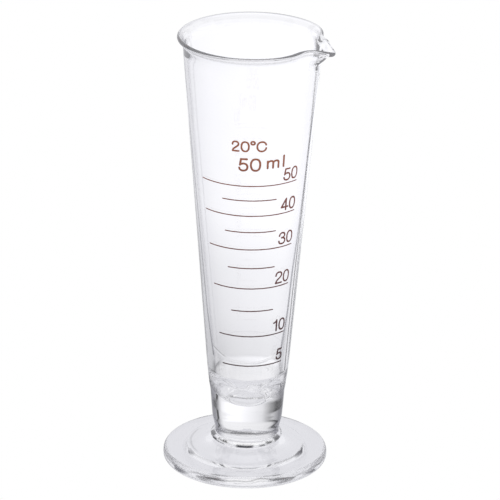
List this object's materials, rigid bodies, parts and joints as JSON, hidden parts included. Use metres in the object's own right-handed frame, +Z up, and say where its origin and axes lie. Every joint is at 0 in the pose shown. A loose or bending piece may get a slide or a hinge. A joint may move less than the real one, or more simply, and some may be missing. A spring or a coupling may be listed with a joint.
{
  "type": "conical graduated measure",
  "caption": "Footed conical glass measure with a pouring lip, a solid base fused to a round foot, and a fired enamel millilitre scale.",
  "frame": {"origin": "middle of the foot, on the table that it stands on", "axes": "+Z up, along the cup's axis, which stands 0.55 mm towards +X from the foot's centre; -Y is the side with the scale; the pouring lip points between +X and -Y, 21 degrees from +X"},
  "size_m": [0.0542, 0.0542, 0.1475],
  "materials": {
    "cup_glass": "clear, blown and fire-polished",
    "button_glass": "clear, hand-fused, slightly wavy",
    "foot_glass": "clear, pressed and fire-polished",
    "scale_enamel": null
  },
  "bodies": {
    "root": {"glass_cup": "cup_glass", "fused_button": "button_glass", "foot_disc": "foot_glass", "line_50_ml": "scale_enamel", "line_45_ml": "scale_enamel", "line_40_ml": "scale_enamel", "line_35_ml": "scale_enamel", "line_30_ml": "scale_enamel", "line_25_ml": "scale_enamel", "line_20_ml": "scale_enamel", "line_15_ml": "scale_enamel", "line_10_ml": "scale_enamel", "line_05_ml": "scale_enamel", "figure_50": "scale_enamel", "figure_40": "scale_enamel", "figure_30": "scale_enamel", "figure_20": "scale_enamel", "figure_10": "scale_enamel", "figure_5": "scale_enamel", "temperature_mark": "scale_enamel", "capacity_mark": "scale_enamel"}
  },
  "joints": []
}
